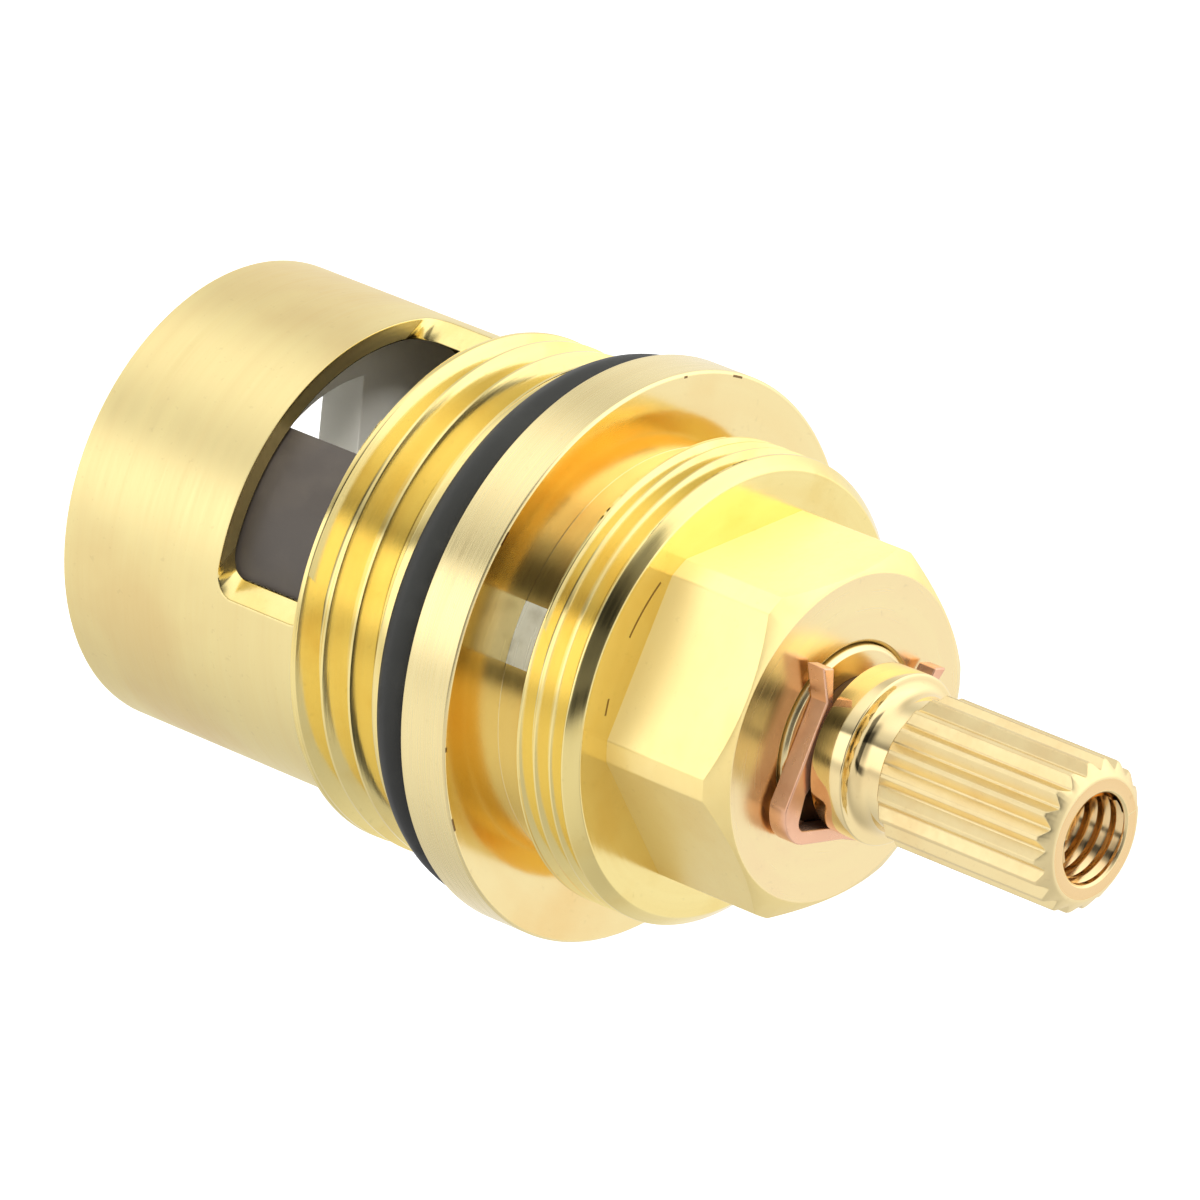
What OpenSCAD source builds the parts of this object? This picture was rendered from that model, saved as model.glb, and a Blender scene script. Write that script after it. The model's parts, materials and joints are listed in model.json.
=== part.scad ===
// Quarter-turn headwork cartridge with ceramic discs, for a three-quarter-inch valve.
// The axis is +Z: the inlet seal stands at the bottom, the splined stem points up.
// Angles about the axis count from +X, which runs through the middle of one outlet window.

/* [Cup and outlet windows] */
// Step from the crest of the lower thread in to the outside of the cup
cup_step = 1.12; // [0.8:0.02:1.3]
// Wall thickness of the cup
cup_wall = 1.05; // [0.9:0.05:1.3]
// Height from the cup's rim to the lower edge of the windows
window_floor = 10.4; // [9.6:0.1:11]
// Height of each window
window_h = 6; // [5:0.1:6.4]
// Distance from the axis to the flat that the window cutter leaves
window_cut = 7.6; // [7:0.1:9]
// Corner radius of the window cutter
window_corner = 1; // [0.4:0.1:1.6]
// Plain band between the windows and the lower thread
window_land = 0.25; // [0.2:0.05:1]
// Width of each keyway that holds a lug of the fixed disc
keyway_w = 3.2; // [2.4:0.1:4]
// Depth of each keyway in the wall of the cup
keyway_depth = 0.5; // [0.3:0.05:0.7]

/* [Lower thread] */
// Crest diameter of the thread that screws into the valve
lower_thread_d = 26.44; // [26:0.02:27]
// Pitch of the lower thread
lower_pitch = 1.814; // [1.5:0.002:2]
// Depth of the lower thread
lower_depth = 1.12; // [0.8:0.02:1.2]
// Number of full grooves in the lower thread
lower_grooves = 3; // [2:1:4]
// Width of the plain lip between the thread and the O-ring groove
lip_h = 0.5; // [0.4:0.05:1.6]

/* [Flange and body O-ring] */
// Outer diameter of the flange
flange_d = 29.34; // [28.6:0.02:32]
// Thickness of the flange
flange_h = 2.85; // [2:0.05:4]
// Width of the bevel on the flange's upper edge
flange_bevel = 0.45; // [0.2:0.05:0.8]
// Width of the groove that holds the body O-ring
oring_groove_h = 2.75; // [2.7:0.05:3.4]
// Cord diameter of the body O-ring
oring_cord = 2.65; // [2:0.05:2.65]
// Diameter at the floor of the O-ring groove
oring_floor_d = 23.1; // [22.4:0.1:23.6]

/* [Upper thread] */
// Crest diameter of the thread that takes the trim sleeve
upper_thread_d = 24; // [23.6:0.1:25]
// Pitch of the upper thread
upper_pitch = 1; // [0.75:0.05:1.25]
// Depth of the upper thread
upper_depth = 0.6; // [0.4:0.02:0.7]
// Number of full grooves in the upper thread
upper_grooves = 3; // [2:1:4]
// Height of the turned relief between the flange and the upper thread
relief_h = 2.25; // [1.6:0.05:4]
// Diameter of the relief
relief_d = 21.6; // [20:0.1:22.8]
// Bevel at the top end of the upper thread
thread_bevel = 0.6; // [0.3:0.05:0.8]

/* [Hexagon] */
// Size across the flats of the hexagon
hex_af = 17; // [15:0.5:18]
// Diameter of the round bar that the hexagon was milled from, across its blunt corners
hex_corner_d = 19; // [17.4:0.1:20]
// Height of the hexagon
hex_h = 6.9; // [5:0.1:10]
// Turn of the hexagon against the outlet windows in degrees
hex_turn = -2.7; // [-30:0.1:30]
// Diameter of the flat round face inside the hexagon's bevel
hex_face_d = 16.7; // [14:0.1:16.8]
// Slope of the hexagon's bevel in degrees
hex_bevel_angle = 33; // [20:1:45]

/* [Spindle] */
// Diameter of the spindle where it turns in the body
journal_d = 9.5; // [9:0.05:10]
// Height of the journal above the hexagon's face
journal_proud = 0.25; // [0.15:0.05:0.6]
// Height of the groove for the retaining clip
clip_groove_h = 1.25; // [1.15:0.05:1.8]
// Diameter at the floor of the clip groove
clip_floor_d = 6.4; // [6.2:0.1:7]
// Diameter of the collar above the clip
collar_d = 8.7; // [8.2:0.1:9.2]
// Height of the collar above the clip
collar_h = 1.9; // [1:0.1:3]
// Radius of the hollow between the collar and the neck
neck_fillet = 0.85; // [0.4:0.05:1]
// Diameter of the neck below the splines
neck_d = 6.7; // [6.2:0.1:6.9]
// Height of the neck, with its hollow
neck_h = 1.55; // [1.2:0.05:3]
// Angle from the drive tongue to the first tooth of the splines
spline_turn = 11.4; // [0:0.2:18]
// Diameter over the tips of the splines
spline_d = 7.74; // [7.4:0.02:8]
// Diameter at the roots of the splines
spline_root_d = 6.9; // [6.4:0.1:7.1]
// Number of splines
spline_teeth = 20; // [16:1:24]
// Length of the splined stem, with its bevel
spline_h = 10.7; // [8:0.1:16]
// Height of the bevel at the stem's tip
tip_bevel = 0.55; // [0.3:0.05:0.8]
// Diameter of the flat ring at the stem's tip
tip_face_d = 6.24; // [5.8:0.02:6.6]
// Diameter of the tapped hole for the handle screw, at its crests
screw_hole_d = 4.2; // [3.2:0.1:4.4]
// Depth of the tapped hole
screw_hole_h = 11; // [8:0.5:14]
// Diameter of the countersink at its mouth
screw_mouth_d = 4.6; // [4.5:0.1:5]

/* [Spindle seals and drive] */
// Cord diameter of the two spindle O-rings
seal_cord = 1.3; // [1:0.05:1.5]
// Height from the shoulder in the body to the lower spindle O-ring groove
seal_first = 7; // [3:0.5:9]
// Distance between the two spindle O-rings
seal_step = 5; // [2.5:0.1:6]
// Reach of the two stop lugs beyond the round drive flange
lug_reach = 1.55; // [1.2:0.05:2.4]
// Thickness of the drive flange
drive_h = 2.6; // [2:0.1:3.2]
// Thickness of the glide washer above the drive flange
washer_h = 0.6; // [0.4:0.05:0.8]
// Width of the tongue that turns the moving disc
tongue_w = 4; // [3:0.1:5]
// Length of the tongue
tongue_l = 14; // [12:0.5:15]
// Height of the tongue
tongue_h = 2.1; // [1.2:0.1:2.6]

/* [Retaining clip] */
// Thickness of the clip
clip_t = 1.1; // [0.8:0.05:1.15]
// Half width of the clip at its shoulders
clip_half_w = 5; // [4.8:0.05:5.4]
// Distance from the axis to the outer edge of the closed end
clip_back = 4.95; // [4.8:0.05:5.4]
// Width of the strip at the closed end
clip_back_w = 0.75; // [0.6:0.05:0.8]
// Dip of the closed end's middle towards the axis
clip_dip = 0.25; // [0:0.05:0.3]
// Radius of the two outer corners
clip_corner = 1.9; // [1:0.1:2.2]
// Width of each leg at its shoulder
clip_leg_w = 1.25; // [1:0.05:1.3]
// Width of each leg at the waist, before it bends outwards
clip_waist_w = 0.5; // [0.4:0.05:0.8]
// Reach of each leg past the axis, up to its waist
clip_reach = 2.2; // [1.6:0.1:2.6]
// Length of each flared end
clip_flare = 2; // [1:0.1:2.4]
// Angle by which the flared ends open
clip_flare_angle = 29; // [10:1:40]
// Direction of the clip's closed end about the axis when the valve is closed
clip_turn = 82; // [0:1:359]

/* [Discs, inlet seal and travel] */
// Thickness of the fixed disc
fixed_h = 2.7; // [2.2:0.1:4]
// Thickness of the moving disc
moving_h = 9.6; // [8.9:0.1:10]
// Thickness of the web that closes the moving disc at its top
web_h = 1.5; // [1.2:0.1:2.2]
// Radial clearance between the discs and the cup
disc_gap = 0.2; // [0.1:0.05:0.4]
// Half angle of each port in the fixed disc
port_half = 38; // [30:1:41]
// Width of the sealing land outside the ports
port_land = 2.25; // [1.8:0.05:3]
// Radius of the hub between the ports
hub_r = 3.3; // [2.8:0.1:3.8]
// Half angle of each solid sector of the moving disc
sector_half = 43; // [42:1:46]
// Height of the inlet seal
seal_h = 6.3; // [5:0.1:7.4]
// Height by which the inlet seal stands below the cup's rim
seal_proud = 0.8; // [0.4:0.1:1.2]
// Width of the sealing lip
lip_w = 1.2; // [0.8:0.1:1.6]
// Radial room that the inlet seal takes in the cup
seal_w = 2.45; // [2:0.05:3]
// Wall thickness of the ring that backs the inlet seal
backing_wall = 0.9; // [0.6:0.05:1.1]
// Position of the moving disc in its travel, from 0 closed to 90 open
opening = 48; // [0:1:90]

/* [Hidden] */
$fn = 96;
// Overlap that lets a cutter pass through a face
through = 0.5;
// Radial play of the spindle in the body
run_gap = 0.08;
// Radial play of the spindle O-rings, of the washer and of the drive flange
seal_gap = 0.04;
washer_gap = 0.15;
// Play between pieces that lie on each other but turn
turn_gap = 0.05;
// Gap between the clip's legs and the floor of their groove
clip_gap = 0.02;
// Play of the lugs and the tongue in their slots, and of the rubber rings in their seats
lug_gap = 0.1;
oring_gap = 0.02;
// Bevel on the cup's rim, and depth to which the stop blocks sit in the wall, in cup walls
rim_share = 1 / 4;
stop_share = 1 / 2;
// Height cut off the point of each spline tooth
tooth_cut = 0.06;
// Height of the small edge left round the hollow above the collar
ledge_h = 0.05;
// Flats on the crests and roots of the threads, as shares of the pitch
crest_share = 0.14;
root_share = 0.12;
// Outward lean of each clip leg at its waist, and width of its flared end, in waist widths
waist_lean = 1 / 3;
flare_end = 5 / 3;
// Where a leg's inner edge leaves its shoulder and where it meets the groove, in clip_back
shoulder_share = 1 / 2;
foot_share = 2 / 5;
// Inner corners of the closed end, in widths of its strip
inner_corner_share = 2 / 3;
// Full travel between the stops, and the play left at each stop, in degrees
travel = 90;
stop_play = 0.5;
stop_lug_half = 22;

// Levels along the axis, from the inlet up
rim_z = seal_proud;
fixed_z = seal_h;
moving_z = fixed_z + fixed_h;
drive_z = moving_z + moving_h + turn_gap;
washer_z = drive_z + drive_h + turn_gap;
shoulder_z = washer_z + washer_h;
window_z = rim_z + window_floor;
lower_z = window_z + window_h + window_land;
lip_z = lower_z + lower_grooves * lower_pitch;
groove_z = lip_z + lip_h;
flange_z = groove_z + oring_groove_h;
relief_z = flange_z + flange_h;
upper_z = relief_z + relief_h;
upper_end_z = upper_z + upper_grooves * upper_pitch;
hex_z = upper_end_z + thread_bevel;
face_z = hex_z + hex_h;
clip_groove_z = face_z + journal_proud;
collar_z = clip_groove_z + clip_groove_h;
neck_z = collar_z + collar_h;
spline_z = neck_z + neck_h;
tip_z = spline_z + spline_h;

// Radii, from the lower thread in: cup, chamber, discs, ports, seal and its ring
cup_r = lower_thread_d / 2 - cup_step;
bore_r = cup_r - cup_wall;
journal_r = journal_d / 2;
stem_bore_r = journal_r + run_gap;
disc_r = bore_r - disc_gap;
port_r = disc_r - port_land;
drive_r = disc_r - lug_reach;
backing_r = bore_r - seal_w;
seal_floor_r = stem_bore_r - seal_gap - seal_cord;
oring_centre_r = oring_floor_d / 2 + oring_gap + oring_cord / 2;
stop_half = (180 - travel - 2 * stop_lug_half) / 2 - stop_play;
// The stop blocks stand half way between the ends of the lugs' travel
stop_turn = travel + (180 - travel) / 2;

// Annular ridges of one thread, listed upwards from its lower shoulder
function ridges(z, pitch, count, crest_r, root_r) = [
    for (i = [0 : count - 1]) each [
        [crest_r, z + (i + crest_share) * pitch],
        [root_r, z + (i + 0.5 + crest_share / 2 - root_share / 2) * pitch],
        [root_r, z + (i + 0.5 + crest_share / 2 + root_share / 2) * pitch],
        [crest_r, z + (i + 1) * pitch]
    ]
];

// Ring with a rectangular section, and a sector of such a ring
module ring(inner_r, outer_r, z, h) {
    translate([0, 0, z])
        difference() {
            cylinder(r = outer_r, h = h);
            translate([0, 0, -through]) cylinder(r = inner_r, h = h + 2 * through);
        }
}

module ring_sector(inner_r, outer_r, z, h, half_angle, turn) {
    rotate([0, 0, turn - half_angle])
        rotate_extrude(angle = 2 * half_angle)
            translate([inner_r, z]) square([outer_r - inner_r, h]);
}

// O-ring with a round section
module oring(centre_r, cord, z) {
    translate([0, 0, z])
        rotate_extrude()
            translate([centre_r, 0]) circle(d = cord, $fn = 48);
}

// Everything on the body that is turned on the lathe, still solid
module body_turned() {
    thread_r = lower_thread_d / 2;
    upper_r = upper_thread_d / 2;
    bevel_h = flange_bevel / 2;
    rim_bevel = cup_wall * rim_share;
    rotate_extrude()
        polygon(concat(
            [[0, rim_z], [cup_r - rim_bevel, rim_z], [cup_r, rim_z + rim_bevel], [cup_r, lower_z],
             [thread_r, lower_z]],
            ridges(lower_z, lower_pitch, lower_grooves, thread_r, thread_r - lower_depth),
            [[thread_r, groove_z], [oring_floor_d / 2, groove_z], [oring_floor_d / 2, flange_z],
             [flange_d / 2, flange_z], [flange_d / 2, relief_z - bevel_h],
             [flange_d / 2 - flange_bevel, relief_z], [relief_d / 2, relief_z],
             [relief_d / 2, upper_z], [upper_r, upper_z]],
            ridges(upper_z, upper_pitch, upper_grooves, upper_r, upper_r - upper_depth),
            [[upper_r, upper_end_z], [upper_r - thread_bevel, hex_z], [0, hex_z]]
        ));
}

// Hexagon milled from a round bar, with its end turned off by a shallow cone
module hexagon() {
    corner_r = hex_corner_d / 2;
    drop = (corner_r - hex_face_d / 2) * tan(hex_bevel_angle);
    translate([0, 0, hex_z - through])
        intersection() {
            rotate([0, 0, hex_turn])
                cylinder(r = hex_af / 2 / cos(30), h = hex_h + through, $fn = 6);
            rotate_extrude()
                polygon([[0, 0], [corner_r, 0], [corner_r, hex_h + through - drop],
                         [hex_face_d / 2, hex_h + through], [0, hex_h + through]]);
        }
}

// Path of the cutter that opens one window: a flat floor with rounded corners
module window_path() {
    reach = lower_thread_d / 2 - window_cut;
    translate([window_cut, cup_r + through, window_z])
        rotate([90, 0, 0])
            linear_extrude(2 * (cup_r + through))
                union() {
                    translate([window_corner, 0]) square([reach, window_h]);
                    translate([0, window_corner])
                        square([reach, window_h - 2 * window_corner]);
                    for (y = [window_corner, window_h - window_corner])
                        translate([window_corner, y]) circle(r = window_corner, $fn = 48);
                }
}

module headwork_body() {
    color("#e8d68f")
        union() {
            difference() {
                union() {
                    body_turned();
                    hexagon();
                }
                // Chamber for the discs, then the bore for the spindle
                translate([0, 0, rim_z - through])
                    cylinder(r = bore_r, h = shoulder_z - rim_z + through);
                cylinder(r = stem_bore_r, h = face_z + through);
                for (side = [0, 180]) rotate([0, 0, side]) window_path();
                for (side = [90, 270]) rotate([0, 0, side]) keyway();
            }
            for (side = [0, 180])
                ring_sector(drive_r + washer_gap, bore_r + cup_wall * stop_share, drive_z + lug_gap,
                            shoulder_z - drive_z, stop_half, stop_turn + side);
        }
}

// Groove up the wall of the cup for one lug of the fixed disc
module keyway() {
    translate([bore_r - cup_wall, -keyway_w / 2, rim_z - through])
        cube([cup_wall + keyway_depth, keyway_w, moving_z - rim_z + through]);
}

module body_oring() {
    color("#2b2b2b")
        oring(oring_centre_r, oring_cord, groove_z + oring_groove_h / 2);
}

// Star outline of the splines: a point and a root for each tooth. The points reach past the
// round envelope that cuts them off, which leaves a narrow flat on every tooth.
function spline_outline() =
    let (point_r = spline_d / 2 + tooth_cut)
    [
        for (i = [0 : 2 * spline_teeth - 1])
            let (a = i * 180 / spline_teeth, r = i % 2 == 0 ? point_r : spline_root_d / 2)
                [r * cos(a), r * sin(a)]
    ];

// Splined length: the star, bevelled at the tip and run out at the neck
module splines() {
    runout = (spline_d - spline_root_d) / 2;
    translate([0, 0, spline_z])
        intersection() {
            linear_extrude(spline_h) polygon(spline_outline());
            rotate_extrude()
                polygon([[0, 0], [neck_d / 2, 0], [spline_d / 2, runout],
                         [spline_d / 2, spline_h - tip_bevel], [tip_face_d / 2, spline_h],
                         [0, spline_h]]);
        }
}

// Neck with a hollow that sweeps out to the edge of the collar
module neck() {
    ledge_r = neck_d / 2 + neck_fillet;
    hollow_z = neck_fillet + ledge_h;
    translate([0, 0, neck_z - through])
        cylinder(d = neck_d, h = neck_h + 2 * through);
    translate([0, 0, neck_z])
        rotate_extrude()
            difference() {
                square([ledge_r, hollow_z]);
                translate([ledge_r, hollow_z]) circle(r = neck_fillet, $fn = 48);
            }
}

// Shank from inside the drive flange to the collar, with its grooves
module shank() {
    groove_w = seal_cord + 2 * lug_gap;
    edge = journal_proud / 2;
    rotate_extrude()
        polygon(concat(
            [[0, drive_z + drive_h / 2], [journal_r, drive_z + drive_h / 2]],
            [for (i = [0, 1])
                let (z = shoulder_z + seal_first + i * seal_step)
                    each [[journal_r, z], [seal_floor_r, z],
                          [seal_floor_r, z + groove_w], [journal_r, z + groove_w]]],
            [[journal_r, clip_groove_z - edge], [journal_r - edge, clip_groove_z],
             [clip_floor_d / 2, clip_groove_z], [clip_floor_d / 2, collar_z],
             [collar_d / 2, collar_z], [collar_d / 2, neck_z], [0, neck_z]]
        ));
}

// Drive flange with a tongue under it and two lugs round it that meet the stops
module drive() {
    translate([-tongue_l / 2, -tongue_w / 2, drive_z - tongue_h])
        cube([tongue_l, tongue_w, tongue_h + through]);
    difference() {
        translate([0, 0, drive_z]) cylinder(r = disc_r, h = drive_h);
        for (side = [90, 270])
            ring_sector(drive_r, disc_r + through, drive_z - through, drive_h + 2 * through,
                        90 - stop_lug_half, side);
    }
}

module spindle() {
    mouth = (screw_mouth_d - screw_hole_d) / 2;
    color("#e6cf86")
        rotate([0, 0, opening])
            difference() {
                union() {
                    shank();
                    neck();
                    rotate([0, 0, spline_turn]) splines();
                    drive();
                }
                translate([0, 0, tip_z - screw_hole_h])
                    cylinder(d = screw_hole_d, h = screw_hole_h + through);
                translate([0, 0, tip_z - mouth])
                    cylinder(d1 = screw_hole_d, d2 = screw_mouth_d, h = mouth);
            }
}

// Points of an arc, for the rounded corners of the clip
function arc(centre, r, from, to, steps) = [
    for (i = [0 : steps])
        let (a = from + (to - from) * i / steps)
            [centre[0] + r * cos(a), centre[1] + r * sin(a)]
];

// Half of the clip's outline, from the inner end of one flare round to the closed end's middle
function clip_outer(waist_x) =
    let (
        tip = [waist_x + clip_waist_w, -clip_reach]
            + clip_flare * [sin(clip_flare_angle), -cos(clip_flare_angle)]
    )
    concat(
        [tip - [clip_waist_w * flare_end, 0], tip, [waist_x + clip_waist_w, -clip_reach]],
        arc([clip_half_w - clip_corner, clip_back - clip_corner], clip_corner, 0, 90, 8),
        [[0, clip_back - clip_dip]]
    );

// The inner edge back: closed end, rounded corner, shoulder, bearing point and waist
function clip_inner(waist_x, bearing_x) =
    let (
        inner_x = clip_half_w - clip_leg_w,
        inner_y = clip_back - clip_back_w,
        corner = clip_back_w * inner_corner_share
    )
    concat(
        [[0, inner_y - clip_dip]],
        arc([inner_x - corner, inner_y - corner], corner, 90, 0, 5),
        [[inner_x, clip_back * shoulder_share],
         [bearing_x + clip_waist_w / 2, clip_back * foot_share],
         [bearing_x, 0], [waist_x, -clip_reach]]
    );

module retaining_clip() {
    bearing_x = clip_floor_d / 2 + clip_gap;
    waist_x = bearing_x + clip_waist_w * waist_lean;
    outer = clip_outer(waist_x);
    inner = clip_inner(waist_x, bearing_x);
    outer_count = len(outer);
    inner_count = len(inner);
    color("#c98f6c")
        translate([0, 0, clip_groove_z])
            rotate([0, 0, opening + clip_turn - 90])
                linear_extrude(clip_t)
                    polygon(concat(
                        outer,
                        [for (i = [outer_count - 2 : -1 : 0]) [-outer[i][0], outer[i][1]]],
                        [for (i = [inner_count - 1 : -1 : 0]) [-inner[i][0], inner[i][1]]],
                        [for (i = [1 : inner_count - 1]) inner[i]]
                    ));
}

module spindle_oring(index) {
    z = shoulder_z + seal_first + index * seal_step + lug_gap + seal_cord / 2;
    color("#2b2b2b") oring(seal_floor_r + seal_cord / 2, seal_cord, z);
}

module glide_washer() {
    color("#d9d9d2")
        ring(journal_r + washer_gap, drive_r - washer_gap, washer_z, washer_h);
}

// Ceramic disc that turns: two tall sectors on a hub, closed by a web at the top
module moving_disc() {
    slot_w = tongue_w + 2 * lug_gap;
    slot_l = tongue_l + 2 * lug_gap;
    slot_h = tongue_h + lug_gap;
    color("#57524d")
        rotate([0, 0, opening])
            translate([0, 0, moving_z])
                difference() {
                    cylinder(r = disc_r, h = moving_h);
                    for (side = [90, 270])
                        ring_sector(hub_r, disc_r + through, -through,
                                    moving_h - web_h + through, 90 - sector_half, side);
                    translate([-slot_l / 2, -slot_w / 2, moving_h - slot_h])
                        cube([slot_l, slot_w, slot_h + through]);
                }
}

// Ceramic disc that stands still: two ports and two lugs
module fixed_disc() {
    lug_w = keyway_w - 2 * lug_gap;
    color("#c9c6bf")
        translate([0, 0, fixed_z])
            difference() {
                union() {
                    cylinder(r = disc_r, h = fixed_h);
                    for (side = [90, 270])
                        rotate([0, 0, side])
                            translate([0, -lug_w / 2, 0])
                                cube([bore_r + keyway_depth - lug_gap, lug_w, fixed_h]);
                }
                for (side = [0, 180])
                    ring_sector(hub_r, port_r, -through, fixed_h + 2 * through, port_half, side);
            }
}

// Rubber ring with a sealing lip below and a shallow recess under the fixed disc
module inlet_seal() {
    outer_r = bore_r - oring_gap;
    lip_r = (backing_r + outer_r + lip_w) / 2;
    color("#262626")
        rotate_extrude()
            polygon([[backing_r, seal_proud / 2], [lip_r - lip_w, seal_proud / 2],
                     [lip_r - lip_w, 0], [lip_r, 0], [outer_r, rim_z],
                     [outer_r, fixed_z], [backing_r, fixed_z]]);
}

module seal_backing_ring() {
    color("#c9c9c4")
        ring(backing_r - backing_wall, backing_r, seal_proud / 2, seal_h - seal_proud / 2);
}

headwork_body();
body_oring();
spindle();
retaining_clip();
spindle_oring(1);  // spindle_oring_upper
spindle_oring(0);  // spindle_oring_lower
glide_washer();
moving_disc();
fixed_disc();
inlet_seal();
seal_backing_ring();
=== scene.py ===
# %% [markdown]
# # A ceramic disc tap cartridge
# This lesson dresses a CAD model of a tap cartridge. The CAD model gives the place and the size
# of every piece, in metres. Here each visible piece is modelled again with the small things that
# a lathe leaves: screw threads that really climb, eased edges and turning marks.

# %% Load the CAD frame
import bpy
import json
import math
from mathutils import Matrix, Vector

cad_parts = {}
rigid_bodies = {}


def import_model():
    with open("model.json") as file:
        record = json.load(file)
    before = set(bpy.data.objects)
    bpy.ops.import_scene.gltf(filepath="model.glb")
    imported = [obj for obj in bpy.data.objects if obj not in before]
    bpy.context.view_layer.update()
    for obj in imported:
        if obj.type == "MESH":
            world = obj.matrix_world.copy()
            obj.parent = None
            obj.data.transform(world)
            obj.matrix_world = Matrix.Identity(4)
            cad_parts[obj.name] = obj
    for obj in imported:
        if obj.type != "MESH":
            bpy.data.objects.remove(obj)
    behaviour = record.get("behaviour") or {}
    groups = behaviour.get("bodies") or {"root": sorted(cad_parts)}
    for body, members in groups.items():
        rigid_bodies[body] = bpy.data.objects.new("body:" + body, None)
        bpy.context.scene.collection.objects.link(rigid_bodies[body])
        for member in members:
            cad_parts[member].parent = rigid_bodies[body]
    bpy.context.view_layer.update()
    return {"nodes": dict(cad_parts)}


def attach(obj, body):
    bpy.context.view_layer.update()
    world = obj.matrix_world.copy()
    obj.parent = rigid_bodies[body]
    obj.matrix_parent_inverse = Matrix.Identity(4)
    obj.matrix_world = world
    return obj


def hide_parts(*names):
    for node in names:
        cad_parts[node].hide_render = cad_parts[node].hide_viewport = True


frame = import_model()

# %% [markdown]
# Sizes are written in millimetres, as on the drawing, and turned into metres where they are used.
# Blender's operators act on everything that is selected, so each step starts by picking one
# object. Points nearer than SAME_POINT on a line, or SAME_RING round a turning, are merged. Both
# are in metres.

# %% Small helpers for picking and for modifiers
MM = 0.001
SAME_POINT, SAME_RING = 1e-7, 1e-6


def deselect():
    if bpy.context.object and bpy.context.object.mode != "OBJECT":
        bpy.ops.object.mode_set(mode="OBJECT")
    bpy.ops.object.select_all(action="DESELECT")


def pick(obj):
    deselect()
    obj.select_set(True)
    bpy.context.view_layer.objects.active = obj


def edit_all(obj):
    pick(obj)
    bpy.ops.object.mode_set(mode="EDIT")
    bpy.ops.mesh.select_all(action="SELECT")


def apply_modifier(obj, kind, **values):
    pick(obj)
    modifier = obj.modifiers.new(kind.title(), kind)
    for name, value in values.items():
        setattr(modifier, name, value)
    bpy.ops.object.modifier_apply(modifier=modifier.name)


def place_in_mesh(obj):
    pick(obj)
    bpy.ops.object.transform_apply(location=True, rotation=True, scale=True)


def join(main, *others):
    deselect()
    for obj in (main, *others):
        obj.select_set(True)
    bpy.context.view_layer.objects.active = main
    bpy.ops.object.join()


# %% [markdown]
# Most pieces here were turned on a lathe, so they start as half of their outline, drawn beside
# the axis. A line is drawn the way one draws by hand: one vertex, extruded from point to point.
# Corners are eased first, because no real edge is perfectly sharp and only an eased edge catches
# the light.

# %% Lines and eased corners
EASE, EASE_STEPS = 0.06, 3
LONGEST_CUT, NEARLY_STRAIGHT = 0.45, math.radians(175)


def eased(points):
    """A closed outline of (r, z) or (r, z, radius) points with its corners rounded."""
    out = []
    for i, point in enumerate(points):
        here = Vector(point[:2])
        before = Vector(points[i - 1][:2]) - here
        after = Vector(points[(i + 1) % len(points)][:2]) - here
        radius = point[2] if len(point) > 2 else EASE
        cut = min(radius, LONGEST_CUT * before.length, LONGEST_CUT * after.length)
        if cut <= 0 or before.angle(after) > NEARLY_STRAIGHT:
            out.append(tuple(here))
            continue
        start = here + before.normalized() * cut
        end = here + after.normalized() * cut
        for k in range(EASE_STEPS + 1):
            t = k / EASE_STEPS
            curve = start * (1 - t) ** 2 + here * 2 * t * (1 - t) + end * t * t
            out.append(tuple(curve))
    return out


def draw_path(name, points):
    """A line of edges through points in mm, made by extruding one vertex from point to point."""
    deselect()
    bpy.ops.mesh.primitive_circle_add(vertices=3, radius=MM)
    obj = bpy.context.object
    obj.name = obj.data.name = name
    edit_all(obj)
    bpy.ops.mesh.merge(type="CENTER")
    bpy.ops.transform.translate(value=Vector(points[0]) * MM)
    for a, b in zip(points, points[1:]):
        step = (Vector(b) - Vector(a)) * MM
        bpy.ops.mesh.extrude_vertices_move(TRANSFORM_OT_translate={"value": step})
    bpy.ops.mesh.select_all(action="SELECT")
    bpy.ops.mesh.remove_doubles(threshold=SAME_POINT)
    bpy.ops.object.mode_set(mode="OBJECT")
    return obj


def draw_outline(name, points):
    """A closed outline beside the axis, ready to be turned."""
    ring = [(p[0], 0, p[1]) for p in points]
    return draw_path(name, ring + ring[:1])


# %% [markdown]
# Spin carries the outline round the axis, as the lathe does. The last step lands on the first, so
# the doubles are merged, and the normals are made to point outwards.

# %% Turning
TURN_STEPS = 192


def turn(obj, steps=TURN_STEPS):
    edit_all(obj)
    bpy.ops.mesh.spin(steps=steps, angle=math.tau, center=(0, 0, 0), axis=(0, 0, 1))
    bpy.ops.mesh.select_all(action="SELECT")
    bpy.ops.mesh.remove_doubles(threshold=SAME_RING)
    bpy.ops.mesh.normals_make_consistent(inside=False)
    bpy.ops.object.mode_set(mode="OBJECT")
    return obj


def turned(name, points, steps=TURN_STEPS):
    return turn(draw_outline(name, eased(points)), steps)


# %% [markdown]
# A screw thread is a ridge that climbs by one pitch in each turn. The Screw modifier sweeps the
# ridge's section that way, and two cuts with Bisect leave it between the shoulders it runs into.

# %% Threads that climb


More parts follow.
